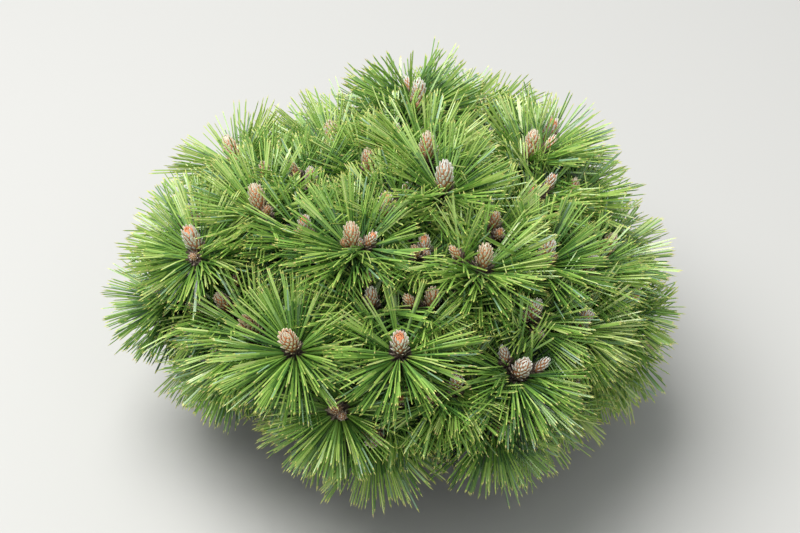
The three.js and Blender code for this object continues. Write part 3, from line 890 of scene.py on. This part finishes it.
def place_buds():
    """One bud on each shoot, and small ones pressed against the foot of some main ones: their gap from the
    axis, in bud radii, grows with their size. Gives for each bud its foot, its axis, its size and the shoot
    that carries it."""
    count = random.choice(len(CLUSTER_ODDS), main_count, p=CLUSTER_ODDS)
    parent = np.repeat(np.arange(main_count), count)
    side, other = turned_frame(growth_axis[parent], growth_across[parent])
    away = turned(side, other, draw(WHOLE_TURN, (len(parent), 1)))
    size = draw(CLUSTER_SIZE, len(parent))
    axis = unit(turned(growth_axis[parent], away, np.radians(draw(CLUSTER_TILT, (len(parent), 1)))))
    gap = BUD_RADIUS * (CLUSTER_GAP + CLUSTER_GAP_GROWTH * size)
    foot = growth_collar[parent] + away * gap[:, None] - CLUSTER_SINK * axis
    main_size = np.where(shoot_leads, draw(LEADER_BUD_SIZE, main_count), draw(FOLLOWER_BUD_SIZE, main_count))
    carrier = np.concatenate([np.arange(len(growth_size)), parent])
    return (np.concatenate([growth_collar, foot]), np.concatenate([growth_axis, axis]),
            np.concatenate([main_size, side_size, size]), carrier)


bud_foot, bud_axis, bud_size, bud_shoot = place_buds()
bud_across = unit(np.cross(bud_axis, random.normal(0, 1, bud_axis.shape)))
print("buds:", len(bud_foot))

# %% [markdown]
# No two buds look alike. High on the dome, in full light, they are warm and blush; further down they are
# cream. The small ones, and a few more low down than high, take the shaded kind: dark at the foot of each
# scale and brown at its tip, which is painted shade. Some have just burst their white scales and show the
# amber ones under them, and a few are frosted all over. Each bud draws its kind from odds that lean with its
# height, and each kind is a row of finishes: for the foot of a scale, for its tip, and for the scales on top
# of the bud.

# %% Kinds of bud
BUD_KINDS = {
    "cream": (RUST, CREAM, CREAM),
    "blush": (SALMON, BLUSH, BLUSH),
    "bursting": (RUST, CREAM, AMBER),
    "frosted": (RUFF, FROST, FROST),
    # Painted shade: the shaded kind gives a bud the dark ruff brown and brown tips, for buds that lie in
    # shade.
    "shaded": (RUFF_DARK, BROWN, BROWN),
}
KIND_ODDS_LOW = (0.61, 0.06, 0.2, 0.05, 0.08)
KIND_ODDS_HIGH = (0.3, 0.42, 0.24, 0.02, 0.02)
# Small buds take the shaded kind more often: painted shade, as they sit low among the needles.
SHADED_SIZE = 0.62
SHADED_ODDS = 0.3
BURSTING = list(BUD_KINDS).index("bursting")


def bud_kinds():
    """The number of each bud's kind: the odds pass from the low ones to the high ones with height, and
    small buds are shaded ones more often and never burst."""
    height = np.clip(growth_height[bud_shoot][:, None], 0, 1)
    odds = (1 - height) * KIND_ODDS_LOW + height * KIND_ODDS_HIGH
    small = bud_size < SHADED_SIZE
    odds[:, -1] += np.where(small, SHADED_ODDS, 0)
    odds[:, BURSTING] *= ~small
    ladder = np.cumsum(odds, axis=1) / odds.sum(axis=1, keepdims=True)
    return (random.random((len(odds), 1)) > ladder).sum(axis=1)


bud_kind = bud_kinds()
kind_finishes = np.array(list(BUD_KINDS.values()))
print("buds of each kind:", dict(zip(BUD_KINDS, np.bincount(bud_kind, minlength=len(BUD_KINDS)).tolist())))

# %% [markdown]
# A bud's outline is a rounded column. Inside lies a smooth heart, which only shows as rust between scales. It
# could be a squashed sphere; a bar swept along the bud takes its outline from a formula that the scales use
# too, so that they sit on it.

# %% Bud hearts
HEART_RINGS = 9
HEART_CORNERS = 12
HEART_SHARE = 0.84
HEART_TOP = 0.96
HEART_LEAST = 0.05
OUTLINE_FOOT = 0.12
OUTLINE_POWER = 2.6
foliage_nodes = [f"foliage_{name}" for name in mass_names]


def bud_outline(t):
    """Radius over the bud's radius at share t of its length: a superellipse, cut off at its foot. With u
    from -1 to 1 over its whole length, the radius is the root of 1 less |u| raised to the outline's power."""
    u = 2 * (OUTLINE_FOOT + (1 - OUTLINE_FOOT) * np.clip(t, 0, 1)) - 1
    return (1 - np.abs(u) ** OUTLINE_POWER) ** 0.5


def bud_hearts():
    """The smooth bodies inside the scales, as points of round bars along each bud's axis."""
    share = np.linspace(0, HEART_TOP, HEART_RINGS)
    length = (BUD_LENGTH * bud_size)[:, None, None]
    path = bud_foot[:, None] + bud_axis[:, None] * length * share[None, :, None]
    outline = np.maximum(bud_outline(share), HEART_LEAST)
    radius = outline[None] * (BUD_RADIUS * bud_size)[:, None] * HEART_SHARE
    return sweep(path, bud_across, circle(radius, HEART_CORNERS))


settle(put_bars("bud_hearts", bud_hearts(), HEART, bud_finishes, smooth=True), foliage_nodes)

# %% [markdown]
# The scales start along that outline and follow it upward, a touch looser than the surface, so that their
# pale tips stand off in rows. Each one is keeled: a three-sided bar with an edge outward, because a flat
# strip would vanish when seen from its edge. Those on a bursting bud stand taller round a tight top. Small
# buds have fewer scales, as they have on the plant.

# %% Bud scales
SCALES = 58
SCALE_RINGS = np.array([0.0, 0.3, 0.84, 1.0])
SCALE_WIDTH = np.array([1.0, 1.0, 0.9, 0.4])
SCALE_LENGTH = 6.0
SCALE_HALF_WIDTH = 1.16
SCALE_NARROWING = 0.9
SCALE_SIDES = 3
SCALE_HALF_DEPTH = 0.55
SCALE_LENGTH_WAVER = 0.07
SCALE_LOOSE = 0.2
SCALE_LOOSE_WAVER = 0.025
FOOT_LOOSE = 0.2
FOOT_LOOSE_TO = 0.25
SCALE_SLOPES = (-1.7, 0.5)
SLOPE_STEP = 0.02
SCALE_CURL = 0.05
SCALE_TURN_WAVER = 0.05
LAST_SCALE = 0.93
SCALE_CROWDING = 0.9
TOP_SCALES = 0.78
BURST_TOP_LENGTH = 0.6
BURST_SIDE_LENGTH = 1.2
FOOT_SCALES = 0.26
FOOT_PALE_SHARE = 0.7
SMALL_BUD_SIZE = 0.72
KEEL = -math.pi / 2


def scale_roots(chosen):
    """For the chosen buds, each scale's bud, its share t of the bud's length, its way outwards and its
    root on the outline. t grows with a power of the scale's number, so that scales crowd towards the top."""
    count = np.round(SCALES * np.minimum(bud_size[chosen], 1)).astype(int)
    group, number = count_off(count)
    bud = chosen[group]
    t = LAST_SCALE * ((number + 0.5) / count[group]) ** SCALE_CROWDING
    side, axis = bud_across[bud], bud_axis[bud]
    turn = number * GOLDEN_ANGLE + random.normal(0, SCALE_TURN_WAVER, len(bud))
    outward = turned(side, np.cross(axis, side), turn[:, None])
    size = bud_size[bud][:, None]
    radius = (bud_outline(t) * BUD_RADIUS * HEART_SHARE)[:, None] * size
    return bud, t, outward, bud_foot[bud] + axis * BUD_LENGTH * size * t[:, None] + outward * radius


def bud_scales(chosen):
    """Each scale's way is the outline's slope turned out by its looseness, and it curls out with the square
    of its length. It narrows as the outline does, so that the heart shows between scales up to the top. Its
    foot and its tip take the finishes of its bud's kind. The lowest scales of every bud are weathered to the
    ruff's brown at their foot, and some of them are brownish up to the tip."""
    bud, t, outward, root = scale_roots(chosen)
    on_top = t > TOP_SCALES
    bursting = bud_kind[bud] == BURSTING
    rise = bud_outline(t + SLOPE_STEP) - bud_outline(t - SLOPE_STEP)
    slope = rise / (2 * SLOPE_STEP) * BUD_RADIUS / BUD_LENGTH
    loose = SCALE_LOOSE + FOOT_LOOSE * np.clip(FOOT_LOOSE_TO - t, 0, 1)
    loose = loose + random.normal(0, SCALE_LOOSE_WAVER, len(bud))
    loose = np.where(bursting & on_top, 0, loose)
    way = unit(bud_axis[bud] + outward * (np.clip(slope, *SCALE_SLOPES) + loose)[:, None])
    normal = unit(outward - (outward * way).sum(-1, keepdims=True) * way)
    length = SCALE_LENGTH * bud_size[bud] * (1 + random.normal(0, SCALE_LENGTH_WAVER, len(bud)))
    length = length * np.where(bursting, np.where(on_top, BURST_TOP_LENGTH, BURST_SIDE_LENGTH), 1)
    share = SCALE_RINGS[None, :, None]
    path = way[:, None] * share + SCALE_CURL * normal[:, None] * share ** 2
    path = root[:, None] + length[:, None, None] * path
    corner = circle(SCALE_WIDTH, SCALE_SIDES, KEEL)[None] * np.array([SCALE_HALF_WIDTH, SCALE_HALF_DEPTH])
    width = bud_size[bud] * bud_outline(t) ** SCALE_NARROWING
    points = sweep(path, np.cross(way, normal), corner * width[:, None, None, None])
    base, tip, top = kind_finishes[bud_kind[bud]].T
    tip = np.where(on_top, top, tip)
    base = np.where(tip == AMBER, AMBER, base)
    at_foot = t < FOOT_SCALES
    base = np.where(at_foot, RUFF, base)
    tip = np.where(at_foot & (random.random(len(bud)) > FOOT_PALE_SHARE), BROWN, tip)
    return points, np.stack([base, tip, tip], -1)


main_buds = np.flatnonzero(bud_size > SMALL_BUD_SIZE)
small_buds = np.flatnonzero(bud_size <= SMALL_BUD_SIZE)
for name, chosen in {"bud_scales_main": main_buds, "bud_scales_small": small_buds}.items():
    settle(put_bars(name, *bud_scales(chosen), bud_finishes, smooth=False), foliage_nodes)

# %% [markdown]
# The ruff is a collar of dead, dark scales where the bud meets the needles. They stand out and curl up. It
# closes the join between bud and twig, which is otherwise the first place where a model looks glued. The
# scales are bars again, at tilts and lengths drawn within limits, as no two of them dry alike.

# %% Ruffs under the buds
RUFF_SCALES = 30
RUFF_SPAN = (-7.0, 1.0)
RUFF_LENGTH = 6.2
RUFF_LENGTH_SHARE = (0.7, 1.1)
RUFF_TILT = (22, 62)
RUFF_TURN_WAVER = 0.1
RUFF_ROOT_RADIUS = 3.9
RUFF_CURL = 0.3
RUFF_HALF_WIDTH = 1.0
RUFF_HALF_DEPTH = 0.4
RUFF_DARK_SHARE = 0.5


def ruff_scales():
    """Bars that leave the collar outwards, at a tilt drawn between two limits, and curl back up."""
    shoot = np.repeat(np.arange(len(growth_mass)), RUFF_SCALES)
    number = np.tile(np.arange(RUFF_SCALES), len(growth_mass))
    size = np.sqrt(growth_size)[shoot][:, None]
    axis = growth_axis[shoot]
    side, other = turned_frame(axis, growth_across[shoot])
    turn = number * GOLDEN_ANGLE + random.normal(0, RUFF_TURN_WAVER, len(shoot))
    outward = turned(side, other, turn[:, None])
    way = turned(axis, outward, np.radians(draw(RUFF_TILT, (len(shoot), 1))))
    along = axis * draw(RUFF_SPAN, (len(shoot), 1)) * size
    root = growth_collar[shoot] + along + outward * RUFF_ROOT_RADIUS * size
    share = SCALE_RINGS[None, :, None]
    length = RUFF_LENGTH * size[:, None] * draw(RUFF_LENGTH_SHARE, (len(shoot), 1, 1))
    path = root[:, None] + length * (way[:, None] * share + RUFF_CURL * axis[:, None] * share ** 2)
    corner = circle(SCALE_WIDTH, SCALE_SIDES, KEEL)[None] * np.array([RUFF_HALF_WIDTH, RUFF_HALF_DEPTH])
    finish = np.where(random.random(len(shoot)) < RUFF_DARK_SHARE, RUFF_DARK, RUFF)
    return sweep(path, np.cross(way, axis), corner), finish[:, None]


settle(put_bars("bud_ruffs", *ruff_scales(), bud_finishes, smooth=False), foliage_nodes)

# %% [markdown]
# Young pine wood keeps the scars of its leaves: a net of lozenges, each with a raised upper lip, that winds
# round the twig. Older wood loses it for shallow plates. The relief is real geometry, a height added to the
# radius, and the finish then adds the grain that is too fine for the mesh. Bark has no gleam at all. Young
# bark is dark and fine, a bough's is a shade paler, and the trunk's plates have weathered grey.

# %% Bark finishes
BARK_ROUGHNESS = 0.9
BARK_DETAIL = 4.0
BARK_STRENGTH = 0.6
# A Mix node has sockets for each kind of value; these are the numbers of the two colours and their result.
MIX_DARK, MIX_LIGHT, MIX_RESULT = 6, 7, 2


def bark_material(name, dark, light, grain, depth):
    """Dull bark: two browns mixed by noise at a real grain size, with a bump from the same noise."""
    material, tree, shader = new_material(name, {"Roughness": BARK_ROUGHNESS})
    noise = roughen(tree, shader, grain, BARK_DETAIL, BARK_STRENGTH, depth)
    blend = add_node(tree, "ShaderNodeMix", settings={"data_type": "RGBA"},
                     sockets={MIX_DARK: linear(dark), MIX_LIGHT: linear(light)},
                     links={"Factor": noise.outputs["Fac"]})
    tree.links.new(blend.outputs[MIX_RESULT], shader.inputs["Base Color"])
    return material


twig_bark = bark_material("bark_young_scaly", "#2f2620", "#6e5b4c", 2.5, 0.3)
bough_bark = bark_material("bark_bough", "#3a3029", "#7c6a5a", 4.0, 0.5)
trunk_bark = bark_material("bark_trunk_plated", "#3b342e", "#8a7d6f", 7.0, 0.8)
print("bark finishes:", twig_bark.name, bough_bark.name, trunk_bark.name)

# %% [markdown]
# The net of scars follows from how the needles stood. Lines of needle bases wind up a twig both ways, and
# where two lines cross stood one needle pair. So two families of waves, one winding left and one right, are
# multiplied: a lozenge stands up wherever both are high. A bump map would do up close, but not at the edge
# of a twig, where real relief breaks the outline.

# %% Scarred bars
SCAR_PITCH = 4.5
SCAR_HEIGHT = 0.9
SCAR_FLATNESS = 0.6
SCAR_LIP = 0.4


def scar_relief(along, turn, pitch, ranks):
    """Height of the net of leaf scars, 0 to 1: two families of lines cross at a slant, and where both are
    high a lozenge stands up. A ramp that starts anew at every pitch adds the step of a lip. along is the
    length from the foot, pitch the length of one lozenge, ranks the number of lines of each family."""
    first = 0.5 * ranks * turn + np.pi * along / pitch
    second = 0.5 * ranks * turn - np.pi * along / pitch
    lozenge = np.abs(np.sin(first) * np.sin(second)) ** SCAR_FLATNESS
    lip = (along / pitch) % 1
    return lozenge * (1 - SCAR_LIP + SCAR_LIP * lip)


def path_length(path):
    """Running length along each path: the sum of its steps so far."""
    step = np.linalg.norm(np.diff(path, axis=1), axis=-1)
    return np.concatenate([np.zeros((len(path), 1)), np.cumsum(step, axis=1)], axis=1)


def curve(start, first, second, end, share):
    """A cubic curve: the four points weighted by (1-s)^3, 3s(1-s)^2, 3s^2(1-s) and s^3."""
    s = share[None, :, None]
    return (start[:, None] * (1 - s) ** 3 + first[:, None] * 3 * s * (1 - s) ** 2
            + second[:, None] * 3 * s ** 2 * (1 - s) + end[:, None] * s ** 3)


def scarred_bars(path, across, radius, corners, ranks):
    """Round bars whose radius has the net of scars added."""
    turn = np.arange(corners) * 2 * np.pi / corners
    along = path_length(path)[..., None]
    bumped = radius[..., None] + SCAR_HEIGHT * (scar_relief(along, turn, SCAR_PITCH, ranks) - 0.5)
    section = bumped[..., None] * np.stack([np.cos(turn), np.sin(turn)], -1)
    return sweep(path, across, section)


print("scars stand", SCAR_HEIGHT, "mm high,", SCAR_PITCH, "mm apart")

# %% [markdown]
# A twig leaves its fork along the stem and bends until it points along its shoot, as growth towards the light
# bends it. A straight bar would show a kink at both ends; a cubic curve with its middle points on those two
# directions has none. Side shoots are such curves too, only shorter, and the stems are straight.

# %% Twigs
TWIG_RINGS = 24
TWIG_CORNERS = 11
TWIG_RANKS = 6
TWIG_LEAVES = 0.35
TWIG_ARRIVES = 0.2
TWIG_SWELLING = 1.4
SIDE_ARRIVES = 6
SIDE_TWIG_SHARE = 0.8
STEM_RADIUS = 3.2
STEM_OVERLAP = 2
STEM_ACROSS = [1.0, 0.2, 0.0]


def twig_paths():
    """Cubic curves from each fork to its shoot's collar, and from each side shoot's start to its own. Their
    middle points are set in from both ends by shares of the way, but a side shoot's second one by a fixed
    length. The radius grows towards the bud."""
    share = np.linspace(0, 1, TWIG_RINGS)
    fork = mass_fork[shoot_mass]
    reach = np.linalg.norm(shoot_start - fork, axis=1, keepdims=True)
    begin = np.concatenate([fork, side_start])
    leave = np.concatenate([fork + mass_direction[shoot_mass] * reach * TWIG_LEAVES,
                            (2 * side_start + side_collar) / 3])
    arrive = np.concatenate([shoot_start - shoot_axis * reach * TWIG_ARRIVES,
                             side_collar - side_axis * SIDE_ARRIVES])
    end = growth_collar + growth_axis
    path = curve(begin, leave, arrive, end, share)
    foot = np.where(growth_size < 1, TWIG_RADIUS * SIDE_TWIG_SHARE, TWIG_RADIUS)[:, None]
    head = (SHOOT_RADIUS * growth_size)[:, None]
    return path, foot + (head - foot) * share[None] ** TWIG_SWELLING


def stem_paths():
    """The stem of each mass: a straight line from its bough's tip to just past its fork."""
    share = np.linspace(0, 1, TWIG_RINGS)[None, :, None]
    end = mass_fork + mass_direction * STEM_OVERLAP
    path = mass_root[:, None] * (1 - share) + end[:, None] * share
    return path, np.full((len(masses), TWIG_RINGS), STEM_RADIUS)


def twig_points():
    """Points of all twigs and stems, as scarred bars."""
    path, radius = (np.concatenate(both) for both in zip(twig_paths(), stem_paths()))
    across = np.concatenate([growth_across, np.tile(STEM_ACROSS, (len(masses), 1))])
    return scarred_bars(path, unit(across), radius, TWIG_CORNERS, TWIG_RANKS)


settle(put_bars("twigs", twig_points(), 0, [twig_bark], smooth=True), foliage_nodes)

# %% [markdown]
# A bough leaves the trunk with a swollen collar, where trunk wood has grown round it, and sweeps out and up
# to its mass. It is one curve with the twigs' net of scars, in more ranks because the wood is thicker, and
# its foot is sunk into the trunk, so that no gap shows at the join.

# %% Boughs
BOUGH_BASE_RADIUS = 5.2
BOUGH_TIP_RADIUS = 3.5
BOUGH_RINGS = 44
BOUGH_CORNERS = 14
BOUGH_RANKS = 8
BOUGH_BURIED = 12
COLLAR_SWELL = 3.0
COLLAR_LENGTH = 9.0


def bough_points():
    """Each bough follows a quadratic curve: foot, a point a share of its length back from the root along
    the mass's direction, and the root. As a cubic, its two middle points lie two thirds of the way there. The
    collar adds a swelling that holds to the trunk's skin, then falls off as e^(-length / its own length)."""
    foot, root = mass_foot[1:], mass_root[1:]
    length = np.linalg.norm(root - foot, axis=1, keepdims=True)
    bend = root - mass_direction[1:] * BOUGH_BOW * length
    share = np.linspace(0, 1, BOUGH_RINGS)
    path = curve(foot, (foot + 2 * bend) / 3, (root + 2 * bend) / 3, root, share)
    along = path_length(path)
    radius = BOUGH_BASE_RADIUS + (BOUGH_TIP_RADIUS - BOUGH_BASE_RADIUS) * share[None]
    radius = radius + COLLAR_SWELL * np.exp(-np.clip(along - BOUGH_BURIED, 0, None) / COLLAR_LENGTH)
    return scarred_bars(path, level_across(foot, root), radius, BOUGH_CORNERS, BOUGH_RANKS)


bough_nodes = [f"bough_{name}" for name in mass_names[1:]]
settle(put_bars("boughs", bough_points(), 0, [bough_bark], smooth=True), bough_nodes)

# %% [markdown]
# The trunk is short and hardly shows, but it carries everything: it flares into five lobes where the roots
# begin, and its bark has started to part into plates. The plates are cells of a slanting net whose lines
# wander, pressed in along their edges. A lathe would make it round; here the radius is a formula of height
# and turn, so lobes and plates are terms of one sum.

# %% Trunk
TRUNK_TIP_RADIUS = 8.5
TRUNK_FOOT_RADIUS = 19
FLARE_RADIUS = 9
FLARE_HEIGHT = 13
FLARE_LOBES = 5
FLARE_LOBE_DEPTH = 0.32
FLARE_LOBE_TURN = 0.6
TRUNK_TAPER_POWER = 0.85
TRUNK_RINGS = 110
TRUNK_CORNERS = 72
PLATE_HEIGHT = 1.3
PLATE_MIDDLE = 0.7
PLATE_FLATNESS = 0.35
NET_WAVES = ((4, 9), (3, -13))
WANDER_WAVES = ((0.5, 2, 11, 0), (0.4, 5, 5, 1))


def plate_relief(z, turn):
    """Height of the plates, 0 to 1: the sines of two slanting families of lines are multiplied. A family is
    its count of lines times the turn, plus z over its length, plus a wander, a sum of slower waves that the
    second family takes upside down. A low power makes the plates flat and the cracks between them narrow."""
    wander = sum(far * np.sin(z / length + lines * turn + shift)
                 for far, lines, length, shift in WANDER_WAVES)
    (first_lines, first_length), (second_lines, second_length) = NET_WAVES
    first = first_lines * turn + z / first_length + wander
    second = second_lines * turn + z / second_length + wander[::-1]
    return np.abs(np.sin(first) * np.sin(second)) ** PLATE_FLATNESS


def trunk_points():
    """Radius at height z and turn a: the taper, plus a flare that falls off with height and has lobes,
    plus the plates."""
    z = np.linspace(0, TRUNK_HEIGHT, TRUNK_RINGS)[:, None]
    turn = (np.arange(TRUNK_CORNERS) * 2 * np.pi / TRUNK_CORNERS)[None]
    thinning = (TRUNK_TIP_RADIUS - TRUNK_FOOT_RADIUS) * (z / TRUNK_HEIGHT) ** TRUNK_TAPER_POWER
    taper = TRUNK_FOOT_RADIUS + thinning
    lobes = 1 + FLARE_LOBE_DEPTH * np.cos(FLARE_LOBES * turn + FLARE_LOBE_TURN)
    radius = taper + FLARE_RADIUS * np.exp(-z / FLARE_HEIGHT) * lobes
    radius = radius + PLATE_HEIGHT * (plate_relief(z, turn) - PLATE_MIDDLE)
    level = np.stack([radius * np.cos(turn), radius * np.sin(turn), np.zeros_like(radius)], -1)
    return (trunk_axis(z[:, 0])[:, None] + level)[None]


settle(put_bars("trunk_bark", trunk_points(), 0, [trunk_bark], smooth=True), ["trunk"])

# %% [markdown]
# The stage is a plain pale floor under soft light, like a bright but cloudy day: a large lamp high to the
# left, a weaker one from the front, and a pale world that fills the shadows. A sun lamp would draw hard
# shadows of single needles; a lamp two metres wide softens them.

# %% Floor and light
FLOOR_SIZE = 8.0
FLOOR_COLOUR = "#c4c3bf"
FLOOR_ROUGHNESS = 0.9
LAMP_SIZE = 2.0
KEY_POWER = 94.0
KEY_PLACE = (-0.8, 0.1, 2.5)
FILL_POWER = 7.0
FILL_PLACE = (0.5, -1.9, 1.7)
WORLD_COLOUR = "#e6eaee"
WORLD_STRENGTH = 0.49


def make_floor():
    """A plain matt square of light grey paint on the ground, FLOOR_SIZE metres a side."""
    corners = np.array([[-1, -1, 0], [1, -1, 0], [1, 1, 0], [-1, 1, 0]]) * FLOOR_SIZE / 2 / MM
    paint = {"Base Color": linear(FLOOR_COLOUR), "Roughness": FLOOR_ROUGHNESS}
    material = new_material("floor_matt_paint", paint)[0]
    floor = put_mesh("floor", corners, [np.array([[0, 1, 2, 3]])], [np.zeros(1)], [material], smooth=False)


def add_lamp(name, place, power):
    """A square soft lamp at place, in metres, that faces the crown's middle: it is tilted by the angle from
    straight down to that way, and turned to the way's bearing."""
    data = bpy.data.lights.new(name, "AREA")
    data.size = LAMP_SIZE
    data.energy = power
    lamp = bpy.data.objects.new(name, data)
    bpy.context.scene.collection.objects.link(lamp)
    lamp.location = place
    way = CROWN_MIDDLE * MM - np.array(place)
    lamp.rotation_euler = (math.atan2(math.hypot(way[0], way[1]), -way[2]), 0, math.atan2(-way[0], way[1]))


def make_light():
    """The two lamps and the world."""
    add_lamp("key_soft", KEY_PLACE, KEY_POWER)
    add_lamp("fill_soft", FILL_PLACE, FILL_POWER)
    world = bpy.data.worlds.new("pale_world")
    world.use_nodes = True
    sky = world.node_tree.nodes["Background"]
    sky.inputs["Color"].default_value = linear(WORLD_COLOUR)
    sky.inputs["Strength"].default_value = WORLD_STRENGTH
    bpy.context.scene.world = world
    bpy.context.scene.view_settings.view_transform = "Standard"


make_floor()
make_light()
